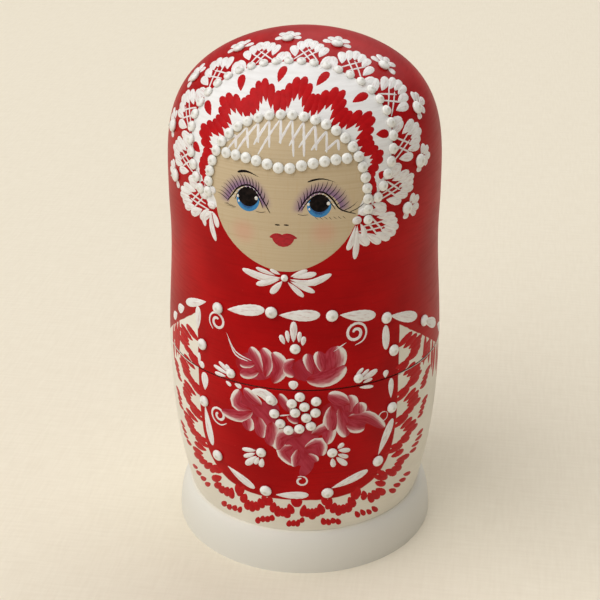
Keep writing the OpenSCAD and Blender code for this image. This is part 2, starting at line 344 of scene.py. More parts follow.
woods = [painted_wood, bare_wood]
for k in range(1, doll_count + 1):
    steps = 160 if k == 1 else 96
    scale, _ = dolls[k]
    if k == doll_count:
        turnings = [("solid_doll", f"doll_{k}_solid", solid_profile(), "red_painted_wood")]
    else:
        turnings = [(f"lower_half_{k}", f"doll_{k}_lower", cup_profile(scale), "cream_painted_wood"),
                    (f"upper_half_{k}", f"doll_{k}_upper", cap_profile(scale), "red_painted_wood")]
    for name, node, profile, slot in turnings:
        piece = make_piece(name, turn_wood(profile, steps), k, node, woods)
        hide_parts(node)

# Face. The wood is left bare under the varnish from the chin up to the string of pearls round the hair.
# It is drawn as a thin skin that follows the head, with soft blush on the cheeks and shadow over the eyes.
chin_z = 99.2
cheek_z = 116.0
cheek_w = 19.6
cheek_power = 1.8
temple_h = 5
hair_depth = 5.5
face_lift = 0.04
blush_r = 5.0
lid_shades = [(-10.7, 117.2, 4.7, 5.6), (9.8, 116.4, 5.0, 5.6)]
blush_middles = [(-11.3, 109.9), (10.4, 110.8)]


def on_surface(point):
    """The point of the largest doll's outside beside a point, and its normal. On the body the two are level,
    and on the crown they lie on one ray from the middle of the head."""
    if point.z <= head_z:
        out = Vector((point.x, point.y, 0)).normalized()
        slope = (outline_r(point.z + 0.05) - outline_r(point.z - 0.05)) / 0.1
        return out * outline_r(point.z) + Vector((0, 0, point.z)), Vector((out.x, out.y, -slope)).normalized()
    middle = Vector((0, 0, head_z))
    way = point - middle
    level = way.xy.length / head_r
    up = way.z / (doll_h - head_z)
    reach = 1.0
    for _ in range(8):
        width_term = (reach * level) ** crown_root
        height_term = (reach * up) ** crown_power
        steepness = crown_root * width_term + crown_power * height_term
        reach -= reach * (width_term + height_term - 1) / steepness
    found = middle + way * reach
    flat = found.xy.length
    tilt_out = crown_root / head_r * (flat / head_r) ** (crown_root - 1)
    tilt_up = crown_power / (doll_h - head_z) * (reach * up) ** (crown_power - 1)
    return found, Vector((found.x / flat * tilt_out, found.y / flat * tilt_out, tilt_up)).normalized()


def in_front(x, z):
    """The point of the doll's front at that distance to the right and that height."""
    r = outline_r(z)
    return Vector((x, -math.sqrt(max(0.0, r * r - x * x)), z))


def face_half_w(z):
    """Half the width of the bare wood at height z, seen from the front."""
    drop = max(0.0, cheek_z - z) / (cheek_z - chin_z)
    below = max(0.0, 1 - drop ** cheek_power) ** (1 / cheek_power) * cheek_w
    if z <= cheek_z:
        return below
    at_string = math.sqrt(max(0.0, outline_r(z) ** 2 - (forehead_r - hair_depth) ** 2))
    return below + (at_string - below) * ease(min(1.0, (z - cheek_z) / temple_h))


hair_top_z = head_z + (doll_h - head_z) * (
    1 - ((forehead_r - hair_depth) / head_r) ** crown_root) ** (1 / crown_power)

paintings = {"upper": [], "lower": []}


def lay_on_half(half, name, bm, material):
    """Lays a drawing on one half of the largest doll, and keeps it for the smaller dolls."""
    drawing = bpy.data.meshes.new(f"{name}_drawing")
    bm.to_mesh(drawing)
    paintings[half].append((drawing, material))
    return make_piece(name, bm, 1, f"doll_1_{half}", [material])


def paint(name, bm, material):
    """Lays a drawing on the largest doll, cut at the seam."""
    bmesh.ops.remove_doubles(bm, verts=bm.verts, dist=0.0005)
    for half in paintings:
        part = bm.copy()
        edge = seam_z + (seam_ease if half == "upper" else -seam_ease)
        whole = part.verts[:] + part.edges[:] + part.faces[:]
        bmesh.ops.bisect_plane(part, geom=whole, plane_co=(0, 0, edge), plane_no=(0, 0, 1),
                               clear_inner=half == "upper", clear_outer=half == "lower")
        if part.faces:
            lay_on_half(half, f"{name}_{half}", part, material)
    bm.free()


face_wood, wire, place, shader = start_material("face_wood", 0.45, 0.1)
x, _, z = place.parts()
turning = place.grain((0.02, 0.02, 2.6), 4.0)
fibres = place.grain((1.5, 1.5, 0.12), 3.0)
skin = turning.step(0.35, 0.8).mix(srgb(199, 179, 146), srgb(191, 169, 134))
skin = (fibres.step(0.5, 0.8) * 0.3).mix(skin, srgb(190, 160, 118))
for blush_x, blush_z in blush_middles:
    off = ((x - blush_x) ** 2.0 + (z - blush_z) ** 2.0) ** 0.5
    skin = ((1 - off.step(0.5, blush_r)) * 0.3).mix(skin, srgb(214, 126, 112))
for shade_x, shade_z, shade_w, shade_h in lid_shades:
    off = (((x - shade_x) / shade_w) ** 2.0 + ((z - shade_z) / shade_h) ** 2.0) ** 0.5
    shade = off.step(0.94, 1.02) * (1 - off.step(1.02, 1.7)) * (z - shade_z).step(-0.4, 1.6)
    skin = (shade * 0.85).mix(skin, srgb(122, 83, 136))
skin.feed(shader["Base Color"])
(turning + fibres * 0.3).bump(0.05).feed(shader["Normal"])

bm = bmesh.new()
for vert in bmesh.ops.create_grid(bm, x_segments=44, y_segments=64, size=0.5)["verts"]:
    rise = (1 - math.cos(math.pi * (vert.co.y + 0.5))) / 2
    height = chin_z + (hair_top_z - chin_z) * rise
    to_side = 2 * vert.co.x
    spot, normal = on_surface(in_front(to_side * face_half_w(height), height))
    at_edge = abs(to_side) > 0.99 or not 0.001 < rise < 0.999
    vert.co = spot + normal * (-face_lift if at_edge else face_lift)
paint("face", bm, face_wood)

# Eyes and brows. They are drawn in ink with a fine brush: a blue iris under a round black pupil with small
# lights, a double upper lid with pale dashes between its lines, and fanned lashes. The nose is two dabs.
black_ink, wire, place, shader = start_material("black_ink", 0.4, 0.0, 0.05)
uneven = place.grain((0.8, 0.8, 0.8), 2.0)
uneven.step(0.35, 0.75).mix(srgb(14, 10, 10), srgb(34, 26, 24)).feed(shader["Base Color"])


def along(path, share):
    """The point at that share of a smooth curve through the points of a path."""
    spans = len(path) - 1
    i = min(int(share * spans), spans - 1)
    t = share * spans - i
    start, end = path[i], path[i + 1]
    before = path[i - 1] if i > 0 else start * 2 - end
    after = path[i + 2] if i + 2 < len(path) else end * 2 - start
    return (start * 2 + (end - before) * t + (before * 2 - start * 5 + end * 4 - after) * t ** 2
            + (start * 3 - before - end * 3 + after) * t ** 3) / 2


oval = (0.5, 0.5)
petal = (0.9, 0.5)
spindle = (0.8, 0.8)
line = (0.3, 0.3)
lash = (0.25, 0.8)
brow = (0.35, 0.9)


def lay_stroke(bm, path, width, shape=petal, height=0.16, cells=(8, 4), lift=0.0, edge=1, ground=0.0):
    """Lays a domed brush stroke along a path on the doll. The shape says how fast it widens and closes, lift
    how much it rises over strokes below it, edge on which side, 1 left or -1 right, its second UV value is
    high (0: on none), and ground how far the skin that it lies on stands off the doll."""
    opens, closes = shape
    widest = (opens / (opens + closes)) ** opens * (closes / (opens + closes)) ** closes
    uv = bm.loops.layers.uv.verify()
    tucked = 0.02
    grid = bmesh.ops.create_grid(bm, x_segments=cells[0], y_segments=cells[1], size=0.5)["verts"]
    marks = {}
    for vert in grid:
        share = (1 - math.cos(math.pi * (vert.co.x + 0.5))) / 2
        side = math.sin(math.pi * vert.co.y)
        marks[vert] = (share, (abs(edge) + side * edge) / 2)
        full = share ** opens * (1 - share) ** closes / widest
        spot, normal = on_surface(along(path, share))
        ahead = along(path, min(1.0, share + 0.02)) - along(path, max(0.0, share - 0.02))
        left = normal.cross(ahead).normalized()
        spot, normal = on_surface(spot + left * side * full * width / 2)
        dome = math.sqrt(max(0.0, 1 - side * side) * min(1.0, full))
        vert.co = spot + normal * (ground + dome * (height + lift + tucked) - tucked)
    for face in {face for vert in grid for face in vert.link_faces}:
        for loop in face.loops:
            loop[uv].uv = marks[loop.vert]


def fronts(points):
    """A path through points of the front that are given by x and z."""
    return [in_front(x, z) for x, z in points]


def spot_on(bm, middle, half_w, half_h, **style):
    """An oval dab on the front."""
    x, z = middle
    lay_stroke(bm, fronts([(x - half_w, z), (x + half_w, z)]), 2 * half_h, oval, **style)


eyes = [
    {"middle": (-9.9, 119.7), "iris": (3.25, 3.55), "pupil": (2.85, 2.95),
     "lid": [(-15.9, 117.7), (-14.3, 119.8), (-12.8, 121.9), (-10.4, 123.2), (-8.1, 122.7), (-6.2, 120.4),
             (-3.7, 116)],
     "fold": [(-13.6, 118.6), (-12.4, 121), (-10.2, 122.4), (-7.9, 121.8), (-6.6, 119.6), (-5.6, 117.2)],
     "lash_turns": (158, 74), "lash_lengths": (4.4, 2.6),
     "low_lid": [(-7.8, 116.2), (-6.2, 116.0), (-4.9, 116.4)],
     "low_lashes": [(-15.6, 117.2), (-13.2, 116.6)], "low_turn": 205},
    {"middle": (9.2, 118.9), "iris": (3.15, 3.4), "pupil": (2.65, 2.7),
     "lid": [(3.7, 116.9), (5.6, 120.1), (7.8, 122.1), (10.3, 122.2), (12.6, 120.2), (14.6, 117.2),
             (18.7, 115.3)],
     "fold": [(4.6, 117.2), (6.3, 119.8), (8.2, 121.3), (10.2, 121.3), (12, 119.4), (13.4, 117.2)],
     "lash_turns": (106, 26), "lash_lengths": (2.8, 4.4),
     "low_lid": [(3.5, 116.2), (5, 115.9), (6.5, 116.1)],
     "low_lashes": [(8.1, 115.4), (15.2, 115.2)], "low_turn": -38},
]
brows = [
    ([(-12.8, 126.3), (-11.1, 126.8), (-9.3, 126.7), (-6.4, 125.6)], 0.95),
    ([(6.1, 125.1), (8, 125.7), (10.5, 125.8), (13.9, 124.5)], 0.68),
]
nose_dabs = [(-1.8, 112.9), (0.6, 113.0)]
nose_dab_half = (0.75, 0.3)
eye_spots = [(2.4, 0.2, 0.5, 0.65), (-2.75, 0.1, 0.36, 0.5), (-2.5, -1.3, 0.26, 0.4)]
iris_drop = 0.5
pupil_shift = (0.1, 0.2)
lid_w = 0.55
fold_w = 0.35
low_lid_w = 0.22
lash_count = 17
lash_start = 0.03
lash_span = 0.9
lash_w = 0.34
lash_bend = 0.15
lash_bend_at = 0.55
low_lash_count = 7
low_lash_length = 1.4
low_lash_w = 0.18
dash_count = 9
dash_start = 0.1
dash_span = 0.7
dash_w = 0.3
ink_h = 0.05
light_h = 0.08
ink = bmesh.new()
blue = bmesh.new()
lights = bmesh.new()
hand = random.Random(7)
for eye in eyes:
    eye_x, eye_z = eye["middle"]
    pupil = (eye_x + pupil_shift[0], eye_z + pupil_shift[1])
    spot_on(blue, (eye_x, eye_z - iris_drop), *eye["iris"], height=ink_h, ground=face_lift, cells=(16, 8))
    spot_on(ink, pupil, *eye["pupil"], height=ink_h, lift=0.06, ground=face_lift, cells=(16, 8))
    lid, fold = fronts(eye["lid"]), fronts(eye["fold"])
    lay_stroke(ink, lid, lid_w, line, ink_h, (24, 2), lift=0.08, ground=face_lift)
    lay_stroke(ink, fold, fold_w, line, ink_h, (18, 2), lift=0.1, ground=face_lift)
    lay_stroke(ink, fronts(eye["low_lid"]), low_lid_w, line, ink_h, (6, 2), ground=face_lift)
    for i in range(lash_count):
        share = lash_span * i / (lash_count - 1)
        first, last = eye["lash_turns"]
        turn = math.radians(first + (last - first) * share / lash_span + hand.uniform(-4, 4))
        first, last = eye["lash_lengths"]
        length = (first + (last - first) * share / lash_span) * hand.uniform(0.85, 1.1)
        root = along(lid, lash_start + share)
        tip = in_front(root.x + length * math.cos(turn), root.z + length * math.sin(turn))
        turn -= lash_bend
        length *= lash_bend_at
        bend = in_front(root.x + length * math.cos(turn), root.z + length * math.sin(turn))
        lay_stroke(ink, [root, bend, tip], lash_w, lash, ink_h, (5, 2), ground=face_lift)
    for i in range(low_lash_count):
        (first_x, first_z), (last_x, last_z) = eye["low_lashes"]
        share = i / (low_lash_count - 1)
        root_x = first_x + (last_x - first_x) * share
        root_z = first_z + (last_z - first_z) * share
        turn = math.radians(eye["low_turn"] + hand.uniform(-8, 8))
        tip = (root_x + low_lash_length * math.cos(turn), root_z + low_lash_length * math.sin(turn))
        lay_stroke(ink, fronts([(root_x, root_z), tip]), low_lash_w, lash, ink_h, (4, 2), ground=face_lift)
    for i in range(dash_count):
        share = dash_start + dash_span * i / (dash_count - 1)
        top, low = along(lid, share), along(fold, share)
        path = [top.lerp(low, 0.3), top.lerp(low, 0.7)]
        lay_stroke(lights, path, dash_w, oval, ink_h, (4, 2), lift=0.08, ground=face_lift)
    for off_x, off_z, half_w, half_h in eye_spots:
        spot_on(lights, (eye_x + off_x, eye_z + off_z), half_w, half_h, height=light_h, lift=0.12,
                ground=face_lift, cells=(6, 4))
for path, width in brows:
    lay_stroke(ink, fronts(path), width, brow, ink_h, (12, 2), ground=face_lift)
for dab in nose_dabs:
    spot_on(ink, dab, *nose_dab_half, height=ink_h, ground=face_lift, cells=(6, 2))

blue_iris, wire, place, shader = start_material("blue_iris", 0.35, 0.15)
u, v = wire.marks()
from_middle = (((u - 0.5) * 2.0) ** 2.0 + ((v - 0.5) * 2.0) ** 2.0) ** 0.5
flecks = place.grain((2.2, 2.2, 2.2), 2.0)
iris = from_middle.step(0.6, 0.85).mix(srgb(16, 70, 128), srgb(42, 124, 182))
(flecks.step(0.4, 0.8) * 0.3).mix(iris, srgb(92, 160, 204)).feed(shader["Base Color"])

eye_light, wire, place, shader = start_material("eye_light", 0.35, 0.15)
uneven = place.grain((1.4, 1.4, 1.4), 2.0)
uneven.step(0.3, 0.8).mix(srgb(236, 232, 224), srgb(206, 200, 194)).feed(shader["Base Color"])
paint("irises", blue, blue_iris)
paint("eye_ink", ink, black_ink)
paint("eye_lights", lights, eye_light)

# Mouth. Two short dabs of red paint make the upper lip, with a dip where they meet in the middle.
# One broad dab makes the lower lip.
lip_paint, wire, place, shader = start_material("lip_paint", 0.38, 0.15)
uneven = place.grain((0.9, 0.9, 2.4), 3.0)
uneven.step(0.35, 0.75).mix(srgb(176, 18, 32), srgb(150, 10, 22)).feed(shader["Base Color"])
lips = [
    ([(-4.0, 109.2), (-1.8, 109.7), (0.6, 109.0)], 1.7), ([(3.5, 109.3), (0.8, 109.8), (-1.4, 109.0)], 1.7),
    ([(-3.3, 109.2), (-0.3, 108.1), (2.7, 109.2)], 3.2),
]
lip_shape = (0.7, 0.7)
lip_paint_h = 0.08
bm = bmesh.new()
for i, (path, width) in enumerate(lips):
    lay_stroke(bm, fronts(path), width, lip_shape, lip_paint_h, (12, 6), lift=0.02 * i, ground=face_lift)
paint("mouth", bm, lip_paint)

# Pearls and beads. Thick white relief paint is set down in drops, and each drop dries with a small peak.
# They stand where the drops of the frame stand, and the smaller dolls have the same ones.
pearl_paint, wire, place, shader = start_material("pearl_paint", 0.24, 0.5)
milky = place.grain((0.7, 0.7, 0.7), 3.0)
pearly = milky.step(0.3, 0.75).mix(srgb(240, 239, 234), srgb(221, 219, 212))
# Each drop is painted darker round its peak: painted shade from the peak, over the milky white.
_, up = wire.marks()
(up.step(0.87, 0.96) * 0.6).mix(pearly, srgb(190, 183, 166)).feed(shader["Base Color"])
milky.bump(0.12).feed(shader["Normal"])


def drops_of(node):
    """The middle on the surface, the normal, the width and the height of each drop of a CAD node."""
    bm = bmesh.new()
    bm.from_mesh(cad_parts[node].data)
    bmesh.ops.remove_doubles(bm, verts=bm.verts, dist=0.001 * MM)
    waiting = set(bm.verts)
    drops = []
    while waiting:
        found = [waiting.pop()]
        for vert in found:
            near = {edge.other_vert(vert) for edge in vert.link_edges} & waiting
            waiting -= near
            found.extend(near)
        points = [vert.co / MM for vert in found]
        middle, normal = on_surface(sum(points, Vector()) / len(points))
        radius = max((p - middle - normal * (p - middle).dot(normal)).length for p in points)
        drops.append((middle, normal, radius, max((p - middle).dot(normal) for p in points)))
    bm.free()
    return sorted(drops, key=lambda drop: tuple(drop[0]))


def lay_drop(bm, middle, normal, radius, height):
    """A drop of relief paint, rounded under its edge, with a small peak off its middle.
    Its second UV value runs from its foot to its peak."""
    bm.loops.layers.uv.verify()
    sunk = 0.3
    peak = 0.26
    drift = 0.14
    half_h = height * (1 + sunk) / 2
    turn = normal.to_track_quat("Z", "Y").to_matrix().to_4x4()
    spot = Matrix.Translation(middle + normal * (height - half_h)) @ turn
    form = spot @ Matrix.Diagonal((radius, radius, half_h, 1))
    verts = bmesh.ops.create_uvsphere(bm, u_segments=14, v_segments=11, radius=1.0, matrix=form,
                                      calc_uvs=True)["verts"]
    top = max(verts, key=lambda vert: (vert.co - middle).dot(normal))
    lean = Vector((hand.uniform(-1, 1), hand.uniform(-1, 1), hand.uniform(-1, 1))) * drift * radius
    top.co += normal * peak * height + lean


drop_nodes = ["forehead_pearls", "hair_pearls", "headdress_pearls", "headdress_flower_beads", "bow_bead",
              "apron_beads_upper", "sprig_beads", "apron_beads_lower", "flower_berries"]
for node in drop_nodes:
    bm = bmesh.new()
    for drop in drops_of(node):
        lay_drop(bm, *drop)
    half = "lower" if node in ("apron_beads_lower", "flower_berries") else "upper"
    piece = lay_on_half(half, f"{node}_drops", bm, pearl_paint)
    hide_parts(node)

# Headdress. On the white band between the two strings runs a red zigzag of dabs, with a red tear over each
# valley. Outside it white fans stand between the flowers, over thin crossing lines, all in gouache.
def brush_hairs(u, v, place, fineness, drift):
    """The lines that the hairs of a brush leave along a stroke. They change with the place on the doll."""
    x, y, z = place.parts()
    spread = x * drift[0] + z * drift[2] + y * drift[1]
    bristles = u.node("CombineXYZ", {}, {0: u * fineness[0], 1: v * fineness[1], 2: spread})
    return bristles.grain((1.0, 1.0, 1.0), 3.0)


white_paint, wire, place, shader = start_material("white_paint", 0.42, 0.08)
u, v = wire.marks()
hairs = brush_hairs(u, v, place, (1.2, 7.0), (0.5, 0.3, 0.4))
inner = 1 - (abs(v - 0.5) * 2.0).step(0.45, 0.95)
thin = hairs.step(0.48, 0.72) * inner * (1 - u.step(0.7, 1.0))
white = place.grain((0.3, 0.3, 0.3)).step(0.3, 0.7).mix(srgb(236, 234, 231), srgb(225, 222, 218))
(thin * 0.6).mix(white, srgb(192, 148, 146)).feed(shader["Base Color"])
hairs.bump(0.15).feed(shader["Normal"])

red_dab, wire, place, shader = start_material("red_dab", 0.4, 0.05, 0.1)
shader["Specular Tint"].default_value = red_sheen
u, _ = wire.marks()
uneven = place.grain((0.5, 0.5, 0.5), 3.0)
dab = uneven.step(0.3, 0.7).mix(srgb(186, 20, 25), srgb(172, 17, 22))
((1 - u.step(0.0, 0.4)) * 0.2).mix(dab, srgb(192, 60, 56)).feed(shader["Base Color"])
uneven.bump(0.1).feed(shader["Normal"])

flower_depth = 18.4
flower_lean = 0.42
flower_left = -97.5
flower_span = 205.5
flower_count = 10
period = flower_span / (flower_count - 1)


def on_head(turn, ring):
    """The point of the head at that turn from the top, in degrees clockwise seen from the front, on a ring:
    0 is the hair string, 1 the string of the headdress and 2 the row of flowers."""
    if ring <= 1:
        depth = hair_depth + (headdress_depth - hair_depth) * ring
        lean = headdress_lean * ring
    else:
        depth = headdress_depth + (flower_depth - headdress_depth) * (ring - 1)
        lean = headdress_lean + (flower_lean - headdress_lean) * (ring - 1)
    turn = math.radians(turn)
    upright = math.cos(turn) / math.sqrt(1 + lean * lean)
    way = Vector((math.sin(turn), lean * upright, upright))
    start = Vector((0, depth - forehead_r, string_z))
    low, high = 0.0, 60.0
    for _ in range(26):
        reach = (low + high) / 2
        spot = start + way * reach
        if spot.z < doll_h and spot.xy.length < outline_r(spot.z):
            low = reach
        else:
            high = reach
    return start + way * low


zigzag = bmesh.new()
fans = bmesh.new()
dabs_each = 6
fan_petals = 8
flower_fan = (-80, -40, 0, 40, 80)
flower_out = 1.35
flower_beside = 0.85
flower_root = 1.7
flower_h = 0.22
tear_w = 2.6
zigzag_low = 0.2
zigzag_rise = 0.36
dab_splay = 4.0
dab_below = 0.27
dab_above = 0.19
dab_h = 0.07
fan_ring = 2.02
fan_droop = 0.05
fan_length = 0.48
fan_h = 0.16
net_w = 0.6
net_h = 0.08
for i in range(flower_count):
    flower_turn = flower_left + period * i
    tear = [on_head(flower_turn - 1.6, 0.56), on_head(flower_turn + 1.4, 0.9)]
    lay_stroke(zigzag, tear, tear_w, petal, dab_h, (8, 4))
    heart = on_head(flower_turn, 2.0)
    outward = (on_head(flower_turn, 2.1) - heart).normalized()
    beside = (on_head(flower_turn + 2, 2.0) - heart).normalized()
    for fan_turn in flower_fan:
        spread = math.radians(fan_turn + hand.uniform(-7, 7))
        way = outward * flower_out * math.cos(spread) + beside * flower_beside * math.sin(spread)
        path = [heart + way * flower_root, heart + way * hand.uniform(4.3, 5.0)]
        lay_stroke(fans, path, hand.uniform(2.2, 2.7), petal, flower_h, (6, 4))
    if i == flower_count - 1:
        continue
    for j in range(dabs_each):
        share = (j + 0.5) / dabs_each
        wave = 1 - abs(2 * share - 1)
        turn = flower_turn + period * share + hand.uniform(-0.3, 0.3)
        centre = zigzag_low + zigzag_rise * wave + hand.uniform(-0.03, 0.03)
        splay = (share - 0.5) * dab_splay
        path = [on_head(turn - splay * 0.8, centre - dab_below),
                on_head(turn + splay * 0.3, centre + dab_above)]
        lay_stroke(zigzag, path, hand.uniform(2.3, 2.7), petal, dab_h, (8, 4), lift=0.02 * (j % 2))
for i in range(flower_count + 1):
    middle_turn = flower_left + period * (i - 0.5)
    for j in range(fan_petals):
        step = j - (fan_petals - 1) / 2
        tip = fan_ring - fan_droop * step * step + hand.uniform(-0.05, 0.05)
        path = [on_head(middle_turn + step * 2.3, tip - fan_length), on_head(middle_turn + step * 3.1, tip)]
        lay_stroke(fans, path, hand.uniform(2.4, 2.8), petal, fan_h, (7, 4))
    for way in (-1, 1):
        for reach in (0.0, 4.0):
            low_end = on_head(middle_turn - way * (6.5 - reach), 1.06)
            high_end = on_head(middle_turn + way * (1 + reach), 1.55)
            lay_stroke(fans, [low_end, high_end], net_w, line, net_h, (6, 2), lift=0.03 * (way + 1))
paint("headdress_zigzag", zigzag, red_dab)
paint("headdress_fans", fans, white_paint)

# Hair, ears and bow. Fine white lines cross on the bare wood under the hair string, white ribbons hang from
# the ends of the strings, and a bow of broad petals is tied round the bead under the chin.
head_strokes = bmesh.new()
hair_lines = 12
hair_spread = 16.5
hair_low_z = 131.2
hair_margin = 0.6
hair_clear = 1.2
hair_slants = (0.5, -5.6)
hair_h = 0.08
least_room = 2
for i in range(hair_lines):
    start_x = hair_spread * (2 * i / (hair_lines - 1) - 1)
    top_z = hair_top_z
    while face_half_w(top_z) < abs(start_x) + hair_clear:
        top_z -= 0.2
    room = top_z - hair_margin - hair_low_z
    if room < least_room:
        continue
    for slant in hair_slants:
        share = hand.uniform(0.6, 1.0)
        end = (start_x + slant * share + hand.uniform(-0.4, 0.4), top_z - hair_margin - room * share)
        path = fronts([(start_x, top_z - hair_margin), end])
        lay_stroke(head_strokes, path, hand.uniform(0.8, 1.0), line, hair_h, (7, 2), lift=0.02,
                   ground=face_lift)
ear_dots = [(-23.0, 117.3), (-20.4, 119.6), (-20.6, 115.2), (20.6, 115.6), (18.9, 113.4)]
ear_dot_r = 1.2
for dot in ear_dots:
    spot_on(head_strokes, dot, ear_dot_r, ear_dot_r, height=0.5, cells=(8, 6))
ear_ribbons = [
    [(-21.5, 113.8), (-23.4, 111.5), (-23.0, 108.2)], [(-21.0, 113.2), (-20.9, 109.0), (-19.7, 104.8)],
    [(-20.6, 113.4), (-19.6, 111.5), (-19.0, 109.0)], [(18.6, 112.0), (17.6, 107.5), (16.6, 105.0)],
    [(19.0, 112.0), (18.9, 106.5), (18.5, 102.0)], [(19.8, 112.4), (20.8, 109.6), (20.3, 106.4)],
]
ribbon_w = 1.9
ribbon_h = 0.18
for path in ear_ribbons:
    lay_stroke(head_strokes, fronts(path), ribbon_w, petal, ribbon_h, (10, 4))
bow_petals = [
    ([(-1.0, 97.3), (-6.0, 97.0), (-12.0, 98.5)], 2.3), ([(-1.4, 96.8), (-8.0, 94.6)], 1.9),
    ([(-0.6, 96.4), (-3.9, 92.4)], 2.0), ([(-2.6, 97.9), (-8.0, 99.6)], 1.3),
    ([(-1.2, 98.3), (-4.0, 99.6)], 1.2), ([(1.4, 97.0), (7.0, 96.0), (12.6, 98.4)], 2.2),
    ([(1.6, 97.8), (6.2, 99.9)], 1.4), ([(2.2, 97.6), (8.6, 98.8)], 1.9), ([(1.6, 96.4), (8.2, 93.2)], 1.7),
    ([(0.8, 96.2), (5.2, 91.9)], 1.6),
]
for path, width in bow_petals:
    lay_stroke(head_strokes, fronts(path), width, petal, ribbon_h, (9, 4))
paint("head_strokes", head_strokes, white_paint)

# Apron border. Tear-shaped strokes of white gouache run round the apron between the beads, and on along the
# belt. Curls fill the upper corners of the apron and stand at the tips of the leaves.
apron_strokes = bmesh.new()


def on_body(across, z):
    """The point of the body at that distance round it from the middle of the front, and that height."""
    r = outline_r(z)
    return Vector((r * math.sin(across / r), -r * math.cos(across / r), z))


def bodies(points):
    """A path through points of the body that are given by their distance across and their height."""
    return [on_body(across, z) for across, z in points]


border_drops = [
    ([(-17.2, 85.2), (-5.6, 87.4)], 3.6), ([(-1.6, 86.2), (9.8, 86.5)], 3.6),
    ([(15.2, 86.0), (26.2, 84.0)], 3.6), ([(31.2, 82.5), (42.8, 78.4)], 3.6),
    ([(46.4, 75.8), (56.6, 70.4)], 3.4), ([(59.0, 69.0), (66.0, 64.4)], 3.2),
    ([(-25.0, 85.2), (-35.2, 81.3)], 2.8), ([(-28.8, 75.6), (-28.7, 82.6)], 2.6),
    ([(-36.2, 79.4), (-40.6, 77.0)], 3.0), ([(-41.6, 75.2), (-45.2, 72.6)], 2.8),
    ([(-28.4, 64.2), (-28.5, 68.4)], 1.4), ([(-26.3, 57.0), (-26.2, 62.9)], 3.0),
    ([(-26.6, 51.8), (-24.2, 38.6)], 2.9), ([(-18.6, 33.4), (-9.6, 27.8)], 3.0),
    ([(-3.2, 26.8), (6.6, 27.4)], 3.0), ([(13.2, 29.4), (24.8, 33.6)], 3.0),
    ([(28.2, 38.0), (33.2, 49.2)], 3.0), ([(32.3, 56.4), (32.1, 63.0)], 2.0),
    ([(30.0, 63.8), (30.2, 66.2)], 2.0),
]
border_ovals = [([(29.6, 80.2), (30.0, 72.6)], 2.7), ([(-27.6, 63.9), (-27.0, 66.0)], 2.2)]
border_h = 0.16
for paths, shape in ((border_drops, petal), (border_ovals, oval)):
    for path, width in paths:
        lay_stroke(apron_strokes, bodies(path), width, shape, border_h, (10, 4))


def lay_curl(bm, middle, start_r, end_r, start_turn, turns, width):
    """A spiral line round a point of the body, from its inside out, with positive turns counter-clockwise."""
    curl_shape = (0.15, 0.35)
    curl_h = 0.12
    marks = 14
    path = []
    for i in range(marks + 1):
        share = i / marks
        angle = math.radians(start_turn + 360 * turns * share)
        r = start_r + (end_r - start_r) * share
        path.append(on_body(middle[0] + r * math.cos(angle), middle[1] + r * math.sin(angle)))
    lay_stroke(bm, path, width, curl_shape, curl_h, (40, 2))


curls = [
    ((20.0, 80.0), 0.8, 3.7, 160, -1.7, 1.0), ((-20.8, 80.6), 0.9, 3.2, 60, 1.5, 0.9),
    ((-21.0, 50.6), 0.6, 3.4, 110, 1.6, 0.9), ((29.6, 51.2), 1.5, 1.6, 60, 1.0, 0.4),
    ((4.6, 32.6), 1.0, 1.9, 90, 1.1, 0.7),
]
for curl in curls:
    lay_curl(apron_strokes, *curl)

# Sprigs. Beside each loose bead of the apron short white petals fan out, and one dab stands over the seam.
# Fine lines of the same gouache lead from the leaves to the curls and from berry to berry.
sprig_petals = [
    ([(2.5, 78.4), (2.5, 84.6)], 2.1), ([(1.1, 78.2), (0.6, 81.8)], 1.3), ([(0.0, 77.6), (-1.2, 80.4)], 1.5),
    ([(4.0, 78.4), (4.2, 81.6)], 1.3), ([(5.0, 77.4), (5.4, 80.2)], 1.5), ([(2.5, 63.8), (2.5, 66.6)], 2.8),
    ([(-17.2, 65.4), (-22.4, 66.6)], 1.4), ([(-16.6, 66.0), (-20.4, 68.4)], 1.4),
    ([(-16.0, 66.4), (-18.0, 68.2)], 1.2), ([(-18.0, 64.4), (-22.0, 64.4)], 1.3),
    ([(-18.0, 62.9), (-16.2, 61.8)], 1.3), ([(-15.0, 62.9), (-12.8, 62.2)], 1.6),
    ([(22.2, 65.2), (27.2, 67.2)], 2.0), ([(20.2, 66.6), (22.6, 68.8)], 1.2),
    ([(21.5, 66.0), (24.4, 68.0)], 1.2), ([(22.6, 64.2), (25.6, 64.8)], 1.1),
    ([(21.5, 62.9), (26.0, 62.2)], 1.2), ([(-8.8, 42.0), (-13.2, 41.4)], 1.6),
    ([(-9.0, 41.0), (-12.8, 38.8)], 1.5), ([(-8.6, 40.0), (-12.2, 36.0)], 2.1),
    ([(-8.0, 39.8), (-9.2, 37.0)], 1.5), ([(-6.8, 39.6), (-7.4, 36.4)], 1.8),
    ([(15.4, 43.0), (19.0, 42.4)], 1.7), ([(15.2, 43.6), (17.0, 45.2)], 1.6),
    ([(14.8, 40.6), (18.0, 37.2)], 1.9), ([(13.6, 40.4), (14.0, 37.2)], 1.7),
    ([(15.2, 41.6), (18.4, 40.0)], 1.5),
]
sprig_shape = (0.7, 0.45)
sprig_h = 0.2
for path, width in sprig_petals:
    lay_stroke(apron_strokes, bodies(path), width, sprig_shape, sprig_h, (7, 4))
fine_lines = [
    [(-9.4, 71.4), (-14.6, 73.2), (-17.6, 78.2)], [(-10.4, 71.0), (-14.6, 72.2), (-17.0, 76.6)],
    [(-1.5, 55.0), (1.6, 55.6)], [(13.5, 75.2), (17.4, 77.6)],
]
fine_shape = (0.3, 0.7)
fine_w = 0.5
fine_h = 0.08
for path in fine_lines:
    lay_stroke(apron_strokes, bodies(path), fine_w, fine_shape, fine_h, (12, 2), lift=0.12)
white_lobe = [(-2.4, 58.6), (-6.0, 61.6), (-9.8, 61.8)]
